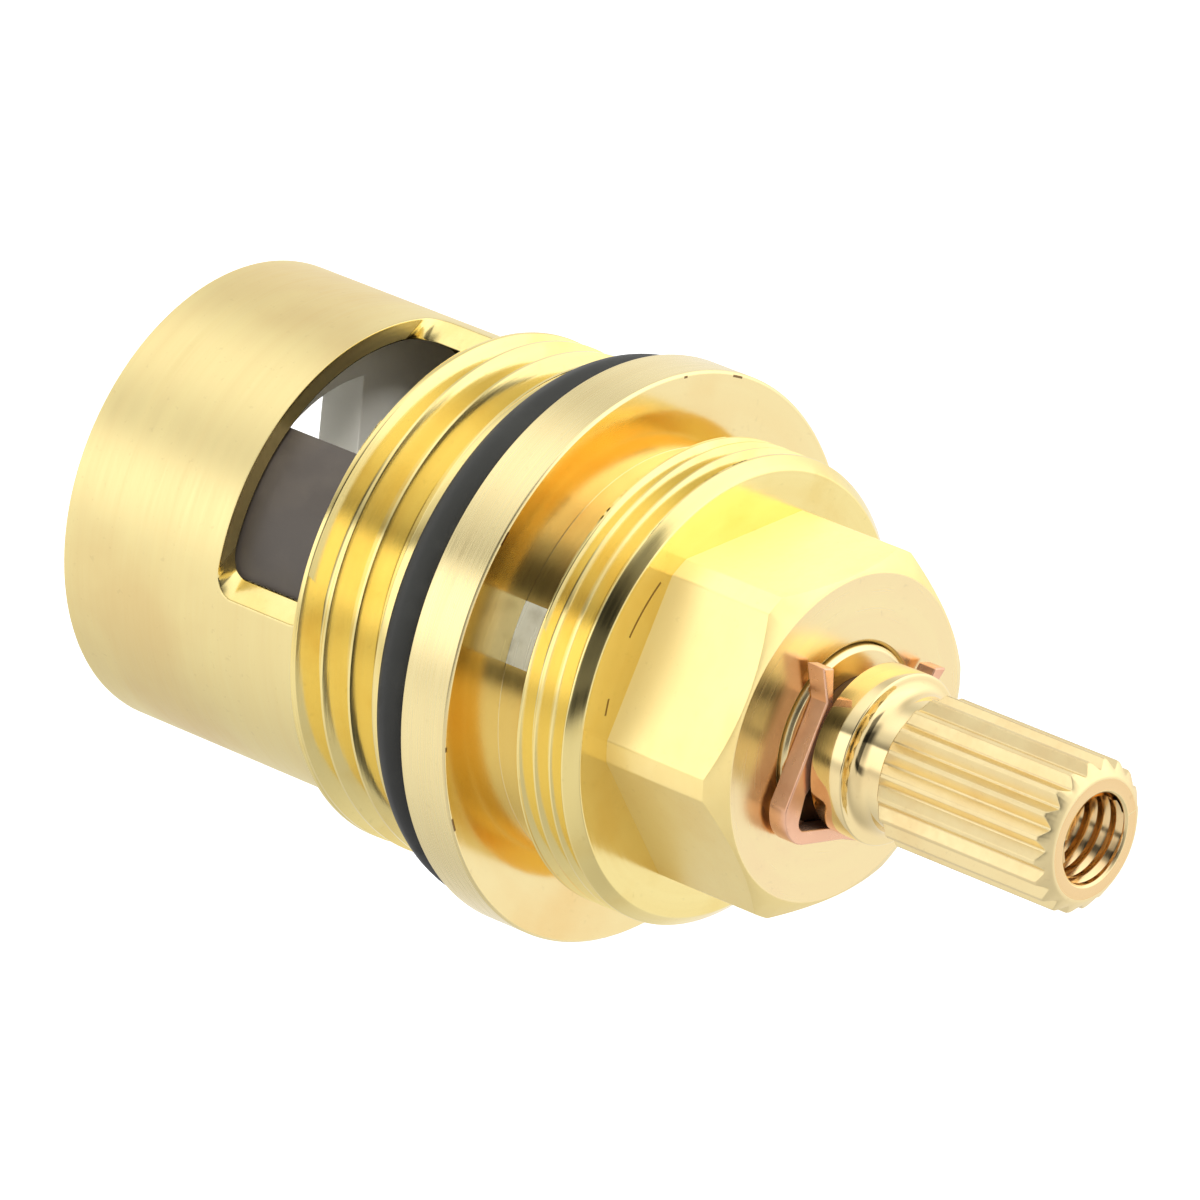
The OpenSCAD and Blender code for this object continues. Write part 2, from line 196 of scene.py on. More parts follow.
def thread(name, section, pitch, low, high, crest_z, crest_az, steps=144, closed_ends=True):
    """section holds (r, z) points round the ridge; the crest passes crest_z at crest_az degrees."""
    start_z = crest_z - pitch * crest_az / 360
    turns_below = math.ceil((start_z - low) / pitch) + 1
    turns = turns_below + math.ceil((high - start_z) / pitch) + 1
    base = start_z - turns_below * pitch
    ridge = draw_outline(name, [(r, z + base) for r, z in section])
    apply_modifier(ridge, "SCREW", axis="Z", angle=math.tau, screw_offset=pitch * MM,
                   iterations=turns, steps=steps, render_steps=steps, use_merge_vertices=False)
    for height, cut_below in ((low, True), (high, False)):
        edit_all(ridge)
        bpy.ops.mesh.bisect(plane_co=(0, 0, height * MM), plane_no=(0, 0, 1),
                            use_fill=closed_ends, clear_inner=cut_below,
                            clear_outer=not cut_below)
    edit_all(ridge)
    bpy.ops.mesh.remove_doubles(threshold=SAME_POINT)
    bpy.ops.mesh.normals_make_consistent(inside=False)
    bpy.ops.object.mode_set(mode="OBJECT")
    print(name, "thread:", turns, "turns,", len(ridge.data.polygons), "faces")
    return ridge


# %% [markdown]
# Windows, flats and slots are cut with the Boolean modifier, which keeps the surfaces exact. The
# new edges are then found by their angle and given a narrow bevel.

# %% Cutting and bevelling
FLAT = math.radians(0.2)


def boolean(obj, tool, operation="DIFFERENCE"):
    apply_modifier(obj, "BOOLEAN", object=tool, operation=operation, solver="EXACT")
    bpy.data.objects.remove(tool, do_unlink=True)


def bevel_hard_edges(obj, width, angle=50, segments=2, merge=0.02):
    """Bevel the edges sharper than angle, in degrees. Points within merge mm become one first."""
    edit_all(obj)
    bpy.ops.mesh.remove_doubles(threshold=merge * MM)
    bpy.ops.mesh.dissolve_limited(angle_limit=FLAT)
    bpy.ops.mesh.select_all(action="DESELECT")
    bpy.ops.mesh.select_mode(type="EDGE")
    bpy.ops.mesh.edges_select_sharp(sharpness=math.radians(angle))
    bpy.ops.mesh.bevel(offset=width * MM, segments=segments, clamp_overlap=False, affect="EDGES")
    bpy.ops.mesh.select_mode(type="VERT")
    bpy.ops.object.mode_set(mode="OBJECT")


def block(name, low, high):
    """A box between two corners in mm."""
    deselect()
    size = [(b - a) * MM for a, b in zip(low, high)]
    centre = [(a + b) / 2 * MM for a, b in zip(low, high)]
    bpy.ops.mesh.primitive_cube_add(size=1, location=centre, scale=size)
    obj = bpy.context.object
    obj.name = obj.data.name = name
    place_in_mesh(obj)
    return obj


def smooth(obj, angle=32):
    pick(obj)
    bpy.ops.object.shade_smooth_by_angle(angle=math.radians(angle))
    apply_modifier(obj, "WEIGHTED_NORMAL", keep_sharp=True, weight=60)


# %% [markdown]
# ## Finishes
# A finish is a small net of shader nodes. The helpers add one node each and feed its sockets with
# a link, when the value comes from another node, or else with a plain number or colour.

# %% Helpers for shader nodes


def feed(net, socket, value):
    if isinstance(value, bpy.types.NodeSocket):
        net.links.new(value, socket)
    else:
        socket.default_value = (*value, 1.0) if isinstance(value, tuple) else value


def math_node(net, operation, *values):
    node = net.nodes.new("ShaderNodeMath")
    node.operation = operation
    for socket, value in zip(node.inputs, values):
        feed(net, socket, value)
    return node.outputs[0]


def noise_node(net, vector, scale, detail, roughness=0.55):
    node = net.nodes.new("ShaderNodeTexNoise")
    for title, value in (("Vector", vector), ("Scale", scale), ("Detail", detail),
                         ("Roughness", roughness)):
        feed(net, node.inputs[title], value)
    return node.outputs["Fac"]


def map_range(net, value, low, high, to_low=0.0, to_high=1.0, soft=False):
    node = net.nodes.new("ShaderNodeMapRange")
    node.interpolation_type = "SMOOTHSTEP" if soft else "LINEAR"
    for title, number in (("Value", value), ("From Min", low), ("From Max", high),
                          ("To Min", to_low), ("To Max", to_high)):
        feed(net, node.inputs[title], number)
    return node.outputs["Result"]


def mix_colour(net, share, a, b, blend="MIX"):
    node = net.nodes.new("ShaderNodeMix")
    node.data_type = "RGBA"
    node.blend_type = blend
    for socket, value in ((node.inputs["Factor"], share), (node.inputs[6], a), (node.inputs[7], b)):
        feed(net, socket, value)
    return node.outputs[2]


# %% [markdown]
# Every brass face was cut by a pointed tool that left fine rings round the axis. One node group
# makes those rings from the distance to the axis and the height, so they run the right way on a
# cylinder and on a face alike. It also tells the radius and the azimuth of each point.

# %% Node group for the turning marks
BAND_SCALE = 0.14


def new_group(name, inputs, outputs):
    group = bpy.data.node_groups.new(name, "ShaderNodeTree")
    for title, value in inputs:
        socket = group.interface.new_socket(title, in_out="INPUT", socket_type="NodeSocketFloat")
        socket.default_value = value
    for title in outputs:
        group.interface.new_socket(title, in_out="OUTPUT", socket_type="NodeSocketFloat")
    return group, group.nodes.new("NodeGroupInput"), group.nodes.new("NodeGroupOutput")


def turning_marks_group():
    group, entry, out = new_group("TurningMarks", [("Rings per mm", 5.0), ("Waver", 0.35)],
                                  ["Rings", "Bands", "Radius", "Azimuth"])
    axes = group.nodes.new("ShaderNodeSeparateXYZ")
    group.links.new(group.nodes.new("ShaderNodeTexCoord").outputs["Object"], axes.inputs[0])
    x, y, z = axes.outputs
    square = math_node(group, "ADD", math_node(group, "MULTIPLY", x, x),
                       math_node(group, "MULTIPLY", y, y))
    radius = math_node(group, "SQRT", square)
    group.links.new(radius, out.inputs["Radius"])
    group.links.new(math_node(group, "ARCTAN2", y, x), out.inputs["Azimuth"])
    per_metre = math_node(group, "MULTIPLY", entry.outputs["Rings per mm"], 1 / MM)
    waver = math_node(group, "MULTIPLY", entry.outputs["Waver"], 1 / MM)
    rings = group.nodes.new("ShaderNodeCombineXYZ")
    scaled = ((radius, per_metre), (z, per_metre), (x, waver))
    for socket, (length, scale) in zip(rings.inputs, scaled):
        group.links.new(math_node(group, "MULTIPLY", length, scale), socket)
    group.links.new(noise_node(group, rings.outputs[0], 1.0, 2.0), out.inputs["Rings"])
    group.links.new(noise_node(group, rings.outputs[0], BAND_SCALE, 3.0), out.inputs["Bands"])
    return group


TURNING = turning_marks_group()
print("Node group:", TURNING.name)

# %% [markdown]
# A second group makes the soft stains that bare brass gets from hands and water, and fine specks.
# Both come from noise: stains lie where a wide noise is high, and specks where a fine one is.

# %% Node group for the stains
STAIN_EDGE = 0.22
SPECK_SCALE, SPECK_LOW, SPECK_HIGH = 2600.0, 0.66, 0.74


def stains_group():
    group, entry, out = new_group("Stains", [("Size", 180.0), ("Cover", 0.5)],
                                  ["Stain", "Specks"])
    place = group.nodes.new("ShaderNodeTexCoord").outputs["Object"]
    wide = noise_node(group, place, entry.outputs["Size"], 4.0, roughness=0.5)
    low = math_node(group, "SUBTRACT", 1.0, entry.outputs["Cover"])
    high = math_node(group, "ADD", low, STAIN_EDGE)
    group.links.new(map_range(group, wide, low, high, soft=True), out.inputs["Stain"])
    fine = noise_node(group, place, SPECK_SCALE, 2.0)
    group.links.new(map_range(group, fine, SPECK_LOW, SPECK_HIGH), out.inputs["Specks"])
    return group


STAINS = stains_group()
print("Node group:", STAINS.name)

# %% [markdown]
# Every finish of the part starts with the same shader, places a group with its own values, spreads
# a noise over a range of roughness and ends with a bump. A noise seldom leaves 0.3 to 0.7, so only
# that range gets spread.

# %% Parts that every finish uses
NOISE_LOW, NOISE_HIGH = 0.3, 0.7


def new_material(name):
    material = bpy.data.materials.new(name)
    material.use_nodes = True
    return material, material.node_tree, material.node_tree.nodes["Principled BSDF"]


def use_group(net, group, **values):
    node = net.nodes.new("ShaderNodeGroup")
    node.node_tree = group
    for title, value in values.items():
        node.inputs[title.replace("_", " ")].default_value = value
    return node


def spread(net, noise, low, high):
    return map_range(net, noise, NOISE_LOW, NOISE_HIGH, low, high)


def add_bump(net, shader, height, strength, depth):
    """depth is in mm."""
    bump = net.nodes.new("ShaderNodeBump")
    bump.inputs["Strength"].default_value = strength
    bump.inputs["Distance"].default_value = depth * MM
    net.links.new(height, bump.inputs["Height"])
    net.links.new(bump.outputs["Normal"], shader.inputs["Normal"])


# %% [markdown]
# Metal has a base colour that drifts to a stain colour, a roughness that follows the rings, and a
# bump so shallow that it only breaks up the reflections. Some rings are dark on a few stretches,
# which are given by their start and end in degrees: on the flange's edge these are knocks.

# %% A metal finish with its own values
BAND_SHARE, SPECK_SHARE, SPECK_SHADE = 0.22, 0.12, 0.6
DARK_MARK_COLOUR = (0.26, 0.16, 0.07)
RING_DEPTH = 0.05


def within(net, value, low, high):
    """1 where the value lies between low and high, else 0."""
    above = math_node(net, "GREATER_THAN", value, low)
    under = math_node(net, "LESS_THAN", value, high)
    return math_node(net, "MULTIPLY", above, under)


def dark_marked(net, marks, inner, outer, stretches):
    """1 on the stretches of the ring between two radii in mm, else 0."""
    hit = 0.0
    for start, end in stretches:
        stretch = within(net, marks.outputs["Azimuth"], math.radians(start), math.radians(end))
        hit = math_node(net, "MAXIMUM", stretch, hit)
    ring = within(net, marks.outputs["Radius"], inner * MM, outer * MM)
    return math_node(net, "MULTIPLY", ring, hit)


def metal(name, clean, stained, roughness, rings_per_mm, ring_bump, cover=0.5, stain_amount=0.5,
          stain_size=180.0, waver=0.35, metallic=1.0, dark_marks=None):
    """roughness is (low, high), and dark_marks is (inner radius, outer radius, stretches)."""
    material, net, shader = new_material(name)
    shader.inputs["Metallic"].default_value = metallic
    marks = use_group(net, TURNING, Rings_per_mm=rings_per_mm, Waver=waver)
    stains = use_group(net, STAINS, Size=stain_size, Cover=cover)
    amount = math_node(net, "MULTIPLY", stains.outputs["Stain"], stain_amount)
    colour = mix_colour(net, amount, clean, stained)
    banded = spread(net, marks.outputs["Bands"], 0.0, BAND_SHARE)
    colour = mix_colour(net, banded, colour, stained)
    specks = math_node(net, "MULTIPLY", stains.outputs["Specks"], SPECK_SHARE)
    colour = mix_colour(net, specks, colour, tuple(c * SPECK_SHADE for c in stained))
    if dark_marks:
        hit = dark_marked(net, marks, *dark_marks)
        colour = mix_colour(net, hit, colour, DARK_MARK_COLOUR)
    net.links.new(colour, shader.inputs["Base Color"])
    rings = marks.outputs["Rings"]
    net.links.new(spread(net, rings, *roughness), shader.inputs["Roughness"])
    add_bump(net, shader, rings, ring_bump, RING_DEPTH)
    return material


# %% [markdown]
# The lathe used another tool and feed for each length, so the brass has several finishes: the cup
# is nearly matte, the threads are bright and clean, and the hexagon's milled flats are dull. The
# dark stretches lie near those in the photograph.

# %% The brass finishes
FLANGE_KNOCKS = (14.42, 15.0, [(-58, -55), (-41, -40), (14, 17), (58, 59), (74, 77)])
# The shoulder is dark on two short stretches of a thin ring.
SHOULDER_DARK_MARKS = (9.82, 9.95, [(5, 23), (41, 46)])
cup_brass = metal("cup_brass", (0.94, 0.79, 0.38), (0.82, 0.60, 0.27), (0.36, 0.46), 6.0, 0.12,
                  stain_amount=0.6, stain_size=75.0)
thread_brass = metal("thread_brass", (0.94, 0.78, 0.34), (0.84, 0.60, 0.18), (0.13, 0.20),
                     9.0, 0.04, stain_amount=0.4, stain_size=260.0)
band_brass = metal("band_brass", (0.94, 0.79, 0.41), (0.84, 0.62, 0.28), (0.22, 0.32), 8.0, 0.1,
                   cover=0.42, stain_size=130.0)
flange_brass = metal("flange_brass", (0.95, 0.80, 0.42), (0.88, 0.57, 0.21), (0.14, 0.18),
                     4.0, 0.012, cover=0.54, stain_amount=0.8, stain_size=65.0,
                     dark_marks=FLANGE_KNOCKS)
hexagon_brass = metal("hexagon_brass", (0.92, 0.74, 0.32), (0.84, 0.60, 0.20), (0.32, 0.40),
                      4.0, 0.02, stain_size=120.0, waver=3.0, metallic=0.68)
face_brass = metal("face_brass", (0.95, 0.79, 0.43), (0.90, 0.62, 0.38), (0.20, 0.28), 8.0, 0.03,
                   stain_amount=0.6, stain_size=90.0)
shoulder_brass = metal("shoulder_brass", (0.94, 0.78, 0.34), (0.84, 0.60, 0.18), (0.13, 0.20),
                       9.0, 0.03, stain_amount=0.4, stain_size=260.0, dark_marks=SHOULDER_DARK_MARKS)
# A grey, half-metallic finish: a painted reflection of a bright light on the relief.
painted_reflection_grey = metal("painted_reflection_grey", (0.53, 0.52, 0.43), (0.34, 0.32, 0.24), (0.2, 0.3), 3.0, 0.02,
                   stain_amount=0.8, stain_size=700.0, metallic=0.5)
# A nearly black finish: painted shade in the clip's groove and under the clip.
painted_shade_brass = metal("painted_shade_brass", (0.14, 0.08, 0.04), (0.07, 0.04, 0.02), (0.4, 0.5), 8.0, 0.03)
stem_brass = metal("stem_brass", (0.93, 0.77, 0.42), (0.82, 0.58, 0.27), (0.34, 0.42), 5.0, 0.04,
                   stain_amount=0.35, stain_size=320.0)
neck_brass = metal("neck_brass", (0.92, 0.75, 0.40), (0.80, 0.55, 0.25), (0.06, 0.11), 5.0, 0.02,
                   stain_amount=0.3, stain_size=320.0)
hole_brass = metal("hole_brass", (0.93, 0.68, 0.36), (0.74, 0.45, 0.18), (0.12, 0.2), 9.0, 0.05)
print("Finishes:", len(bpy.data.materials), "materials so far")

# %% [markdown]
# ## Headwork body
# The body is one brass turning with two windows milled through the cup. Its plain outline is
# turned first, the windows are cut with a rounded block, and the climbing ridges are laid on the
# thread cores. Heights are above the inlet, and the body ends at the hexagon's face.

# %% Heights and radii of the body
RIM_Z, SHOULDER_Z = 0.8, 21.9
CUP_R, BORE_R, STEM_BORE_R = 12.1, 11.05, 4.83
LOWER_Z, LIP_Z, GROOVE_Z, FLANGE_Z, RELIEF_Z = 17.45, 22.892, 23.392, 26.142, 28.992
UPPER_Z, UPPER_END_Z, HEX_Z, FACE_Z = 31.242, 34.242, 34.842, 41.742
FLANGE_R, GROOVE_FLOOR_R, RELIEF_R = 14.67, 11.55, 10.8
FLANGE_EDGE_W, FLANGE_EDGE_H = 0.14, 0.1
THREAD_R, THREAD_ROOT, PITCH = 13.22, 12.1, 1.814
UPPER_R, UPPER_ROOT, UPPER_PITCH = 12.0, 11.4, 1.0
print("Body height, mm:", FACE_Z - RIM_Z)

# %% [markdown]
# The outline runs once round the section of the body: up the outside of the cup, over the thread
# cores, the O-ring groove and the flange, and down through the bore. Each thread's core lies
# between two collars and slopes to its root. A point's third number is the radius of its corner.

# %% Turn the body
COLLAR, SLOPE = 0.25, 0.6
UPPER_COLLAR, UPPER_SLOPE, END_COLLAR, END_SLOPE = 0.12, 0.33, 0.1, 0.25
body = turned("brass_body", [
    (BORE_R, RIM_Z, 0.15), (CUP_R, RIM_Z, 0.25), (CUP_R, LOWER_Z, 0.1), (THREAD_R, LOWER_Z),
    (THREAD_R, LOWER_Z + COLLAR), (THREAD_ROOT, LOWER_Z + COLLAR + SLOPE, 0.15),
    (THREAD_ROOT, LIP_Z - SLOPE, 0.15), (THREAD_R, LIP_Z, 0.08), (THREAD_R, GROOVE_Z, 0.1),
    (GROOVE_FLOOR_R, GROOVE_Z, 0.2), (GROOVE_FLOOR_R, FLANGE_Z, 0.2), (FLANGE_R, FLANGE_Z, 0.12),
    (FLANGE_R, RELIEF_Z - FLANGE_EDGE_H, 0.05), (FLANGE_R - FLANGE_EDGE_W, RELIEF_Z, 0.05),
    (RELIEF_R, RELIEF_Z, 0.05), (RELIEF_R, UPPER_Z, 0.1), (UPPER_R, UPPER_Z),
    (UPPER_R, UPPER_Z + UPPER_COLLAR), (UPPER_ROOT, UPPER_Z + UPPER_COLLAR + UPPER_SLOPE, 0.1),
    (UPPER_ROOT, UPPER_END_Z - END_COLLAR - END_SLOPE, 0.1), (UPPER_R, UPPER_END_Z - END_COLLAR),
    (UPPER_R, UPPER_END_Z), (UPPER_R - (HEX_Z - UPPER_END_Z), HEX_Z, 0.08), (STEM_BORE_R, HEX_Z),
    (STEM_BORE_R, SHOULDER_Z, 0.2), (BORE_R, SHOULDER_Z, 0.3),
])
print("Turned body:", len(body.data.polygons), "faces")

# %% [markdown]
# The milling cutter ran straight across, so each window has a flat floor and flat end walls whose
# edges at the floor are rounded. The block that cuts it gets the same rounding before it cuts.
# Two shallow keyways run up the inside from the rim.

# %% Mill the two windows and the keyways
WINDOW_Z, WINDOW_H, WINDOW_CUT, WINDOW_CORNER = 11.2, 6.0, 7.6, 1.0
CUTTER_FAR, CUTTER_HALF_L = 15.0, 14.0
KEYWAY_HALF_W, KEYWAY_NEAR, KEYWAY_FLOOR, KEYWAY_TOP = 1.6, 10.0, 11.55, 9.0
for side in (1, -1):
    near, far = side * WINDOW_CUT, side * CUTTER_FAR
    cutter = block("window_cutter", (min(near, far), -CUTTER_HALF_L, WINDOW_Z),
                   (max(near, far), CUTTER_HALF_L, WINDOW_Z + WINDOW_H))
    edit_all(cutter)
    bpy.ops.mesh.select_mode(type="EDGE")
    bpy.ops.mesh.select_all(action="DESELECT")
    bpy.ops.object.mode_set(mode="OBJECT")
    for edge in cutter.data.edges:
        a, b = (cutter.data.vertices[i].co for i in edge.vertices)
        on_floor = all(abs(end.x - near * MM) < SAME_RING for end in (a, b))
        edge.select = on_floor and abs(a.y - b.y) > MM
    bpy.ops.object.mode_set(mode="EDIT")
    bpy.ops.mesh.bevel(offset=WINDOW_CORNER * MM, segments=8, affect="EDGES")
    bpy.ops.mesh.select_mode(type="VERT")
    bpy.ops.object.mode_set(mode="OBJECT")
    boolean(body, cutter)
for side in (1, -1):
    low, high = sorted((side * KEYWAY_NEAR, side * KEYWAY_FLOOR))
    boolean(body, block("keyway_cutter", (-KEYWAY_HALF_W, low, 0),
                        (KEYWAY_HALF_W, high, KEYWAY_TOP)))
bevel_hard_edges(body, 0.1)
print("Body with windows:", len(body.data.polygons), "faces")

# %% [markdown]
# Each face gets its finish by its place. A short stretch of the relief under the upper thread is
# painted grey: a painted reflection of a bright light. The windows' cut walls are as bright as the
# threads. The flange's edge carries a few short marks from knocks, and the shoulder under the
# hexagon is dark on two short stretches of a thin ring.

# %% Finishes along the body
PAINTED_REFLECTION_AZ = (23.5, 41.5)
HAIR, NEAR = 0.01, 0.05
THREAD_SIDE_R, BAND_R, WALL_LEAN = 12.0, 13.9, 0.85
CUP, FLANGE, THREADS, BAND, SHOULDER, PAINTED_REFLECTION = range(6)
for finish in (cup_brass, flange_brass, thread_brass, band_brass, shoulder_brass, painted_reflection_grey):
    body.data.materials.append(finish)


def body_finish(face):
    height, radius = face.center.z / MM, face.center.xy.length / MM
    azimuth = math.degrees(math.atan2(face.center.y, face.center.x))
    outwards = abs(face.normal.xy.dot(face.center.xy.normalized()))
    in_window = abs(height - WINDOW_Z - WINDOW_H / 2) < WINDOW_H / 2 + 2 * NEAR
    if abs(height - HEX_Z) < HAIR:
        return SHOULDER
    if in_window and BORE_R < radius < CUP_R - 2 * HAIR and outwards < WALL_LEAN:
        return THREADS
    # Painted reflection: a grey stretch of the relief where a bright light shows.
    if abs(radius - RELIEF_R) < NEAR and PAINTED_REFLECTION_AZ[0] < azimuth < PAINTED_REFLECTION_AZ[1] and height > RELIEF_Z:
        return PAINTED_REFLECTION
    if LOWER_Z - HAIR < height < GROOVE_Z + NEAR and radius > THREAD_SIDE_R:
        return THREADS
    if UPPER_Z - HAIR < height < HEX_Z + 2 * HAIR:
        return THREADS
    if FLANGE_Z - NEAR < height < RELIEF_Z - 2 * HAIR and radius > BAND_R:
        return BAND
    return FLANGE if height > GROOVE_Z else CUP


for face in body.data.polygons:
    face.material_index = body_finish(face)
smooth(body)
print("Cup and flange:", len(body.data.polygons), "faces")

# %% [markdown]
# Both threads have flanks that lean by about 27 degrees and a narrow flat crest, as a pipe thread
# has. Each ridge reaches a little into its core, so that no gap opens between the two, and its
# crest stays just below the collars at its ends, so that no two faces lie in one place.

# %% Cut the two threads
BELOW, ABOVE_FACE, INTO_LIP = 0.01, 0.02, 0.2
CREST_AZ, LOWER_CREST_RISE, UPPER_CREST_RISE = 26, 0.13, 0.07


def ridge_section(crest_r, depth, half_foot, half_crest):
    return [(crest_r - depth, -half_foot), (crest_r, -half_crest), (crest_r, half_crest),
            (crest_r - depth, half_foot)]


lower_thread = thread(
    "lower_thread", ridge_section(THREAD_R - BELOW, depth=1.32, half_foot=0.756, half_crest=0.07),
    PITCH, LOWER_Z + ABOVE_FACE, LIP_Z + INTO_LIP, LOWER_Z + PITCH + LOWER_CREST_RISE, CREST_AZ)
upper_thread = thread(
    "upper_thread", ridge_section(UPPER_R - BELOW, depth=0.7, half_foot=0.42, half_crest=0.05),
    UPPER_PITCH, UPPER_Z + ABOVE_FACE, UPPER_END_Z - END_COLLAR / 2,
    UPPER_Z + UPPER_PITCH + UPPER_CREST_RISE, CREST_AZ)
for ridge in (lower_thread, upper_thread):
    ridge.data.materials.append(thread_brass)
    smooth(ridge, 40)

# %% [markdown]
# The hexagon was milled from the round bar, which was a little too thin for sharp corners, so a
# strip of the bar is left at each one. Its end was turned off at a shallow angle: where that cone
# meets the flats it draws the curved edges that every nut has. A real bar and cone are
# intersected with it.

# %% The hexagon
HEX_AF, HEX_CORNER_R, HEX_TURN, HALF_SIDE = 17.0, 9.5, math.radians(-2.7), math.radians(30)
HEX_FACE_R, HEX_BEVEL, HEX_MOUTH = 8.35, math.radians(33), 0.15
HEX_LOW, HEX_HIGH = HEX_Z - 0.4, FACE_Z + 1
FACING_UP = 0.95
deselect()
bpy.ops.mesh.primitive_cylinder_add(vertices=6, radius=HEX_AF / 2 / math.cos(HALF_SIDE) * MM,
                                    depth=(HEX_HIGH - HEX_LOW) * MM,
                                    location=(0, 0, (HEX_HIGH + HEX_LOW) / 2 * MM),
                                    rotation=(0, 0, HALF_SIDE + HEX_TURN))
hexagon = bpy.context.object
hexagon.name = hexagon.data.name = "hexagon"
place_in_mesh(hexagon)
cone_z = FACE_Z - (HEX_CORNER_R - HEX_FACE_R) * math.tan(HEX_BEVEL)
cone = turn(draw_outline("cone", [
    (STEM_BORE_R, HEX_LOW - 1), (HEX_CORNER_R, HEX_LOW - 1), (HEX_CORNER_R, cone_z),
    (HEX_FACE_R, FACE_Z), (STEM_BORE_R + HEX_MOUTH, FACE_Z), (STEM_BORE_R, FACE_Z - HEX_MOUTH)]))
boolean(hexagon, cone, "INTERSECT")
bevel_hard_edges(hexagon, 0.05, angle=22)
hexagon.data.materials.append(hexagon_brass)
hexagon.data.materials.append(face_brass)
for face in hexagon.data.polygons:
    if face.normal.z > FACING_UP:
        face.material_index = 1
smooth(hexagon, 20)
print("Hexagon:", len(hexagon.data.polygons), "faces")

# %% [markdown]
# The turning, the two ridges and the hexagon are one piece of brass, so they are joined into one
# object. It stands for the plain CAD body and stays with the housing when the spindle turns.

# %% Join the body
join(body, lower_thread, upper_thread, hexagon)
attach(body, "housing")
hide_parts("headwork_body")
print("Headwork body:", len(body.data.polygons), "faces")

# %% [markdown]
# ## Rubber
# O-rings and the inlet seal are moulded in two halves, which leaves a faint raised line round
# them. The rubber is nearly black and has a soft shine, with a little dust on it.

# %% Rubber finish
RUBBER_SHINE, DUST, DUST_STAINS = 0.35, 0.4, 400.0


def rubber(name, colour, roughness):
    material, net, shader = new_material(name)
    shader.inputs["Specular IOR Level"].default_value = RUBBER_SHINE
    stains = use_group(net, STAINS, Size=DUST_STAINS, Cover=0.5)
    stain = stains.outputs["Stain"]
    dusty = tuple(c * 1.6 + 0.006 for c in colour)
    amount = math_node(net, "MULTIPLY", stain, DUST)
    net.links.new(mix_colour(net, amount, colour, dusty), shader.inputs["Base Color"])
    net.links.new(spread(net, stain, *roughness), shader.inputs["Roughness"])
    add_bump(net, shader, stains.outputs["Specks"], 0.2, 0.02)
    return material


black_rubber = rubber("black_rubber", (0.014, 0.014, 0.012), (0.48, 0.6))
print("Finish:", black_rubber.name)

# %% [markdown]
# An O-ring is a round cord bent into a ring. Its section is a circle, with the flash line of the
# mould as one raised point outside and one inside. The body's O-ring lies in its groove with a
# little play, because nothing squeezes it before the cartridge is screwed in.

# %% The body O-ring
CORD_STEPS, FLASH = 32, 0.03
BODY_CORD, RING_PLAY = 2.65, 0.02


def moulded_ring(name, centre_r, centre_z, cord):
    section = []
    for k in range(CORD_STEPS):
        a = math.tau * k / CORD_STEPS
        reach = cord / 2 + (FLASH if k in (0, CORD_STEPS // 2) else 0.0)
        section.append((centre_r + reach * math.cos(a), centre_z + reach * math.sin(a)))
    ring = turn(draw_outline(name, section))
    ring.data.materials.append(black_rubber)
    smooth(ring, 60)
    return ring


body_ring = moulded_ring("body_ring", GROOVE_FLOOR_R + BODY_CORD / 2 + RING_PLAY,
                         (GROOVE_Z + FLANGE_Z) / 2, BODY_CORD)
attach(body_ring, "housing")
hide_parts("body_oring")
print("Body O-ring:", len(body_ring.data.polygons), "faces")

# %% [markdown]
# The inlet seal fills the lower end of the cup. Its lip stands a little below the rim, so that it
# is squeezed when the cartridge is screwed down, and it presses the two ceramic discs together.

# %% The inlet seal
SEAL_TOP_Z, SEAL_FACE_Z = 6.3, 0.4
SEAL_R, SEAL_BORE_R, LIP_R, LIP_BORE_R = 11.03, 8.6, 10.415, 9.215
seal = turned("rubber_seal", [
    (SEAL_BORE_R, SEAL_FACE_Z, 0.1), (LIP_BORE_R, SEAL_FACE_Z, 0.15), (LIP_BORE_R, 0.0, 0.25),
    (LIP_R, 0.0, 0.45), (SEAL_R, RIM_Z, 0.2), (SEAL_R, SEAL_TOP_Z, 0.1),
    (SEAL_BORE_R, SEAL_TOP_Z, 0.1)])
seal.data.materials.append(black_rubber)
smooth(seal, 40)
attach(seal, "housing")
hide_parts("inlet_seal")
print("Inlet seal:", len(seal.data.polygons), "faces")

# %% [markdown]
# ## Spindle
# Below the hexagon's face the spindle carries a round drive flange and a tongue, drawn here along
# x, though the CAD model has it turned by 48 degrees. Above the face come the clip's groove, a
# collar, a hollowed neck and the splines. The shank reaches a little way up inside the splines.

# %% Turn the shank
CLIP_Z, COLLAR_Z, NECK_Z, SPLINE_Z, TIP_Z = 41.992, 43.242, 45.142, 46.692, 57.392
JOURNAL_R, CLIP_GROOVE_R, COLLAR_R, NECK_R, FILLET = 4.75, 3.2, 4.35, 3.35, 0.85
DRIVE_Z, DRIVE_TOP, DRIVE_R = 18.65, 21.25, 9.3
HOLE_R, HOLE_FLOOR, DRILL_CONE = 2.3, 46.392, 1.2
JOURNAL_EDGE, NECK_EDGE, HOLLOW_STEPS = 0.2, 0.05, 10
INTO_SPLINES, SHANK_HOLE_R = 0.25, HOLE_R - 0.05
TONGUE_HALF_L, TONGUE_HALF_W, TONGUE_Z, INTO_DRIVE = 7, 2, 16.55, 0.5
hollow_angles = [math.radians(90 * k / HOLLOW_STEPS) for k in range(HOLLOW_STEPS + 1)]
hollow = [(NECK_R + FILLET - FILLET * math.sin(a),
           NECK_Z + NECK_EDGE + FILLET - FILLET * math.cos(a), 0) for a in hollow_angles]
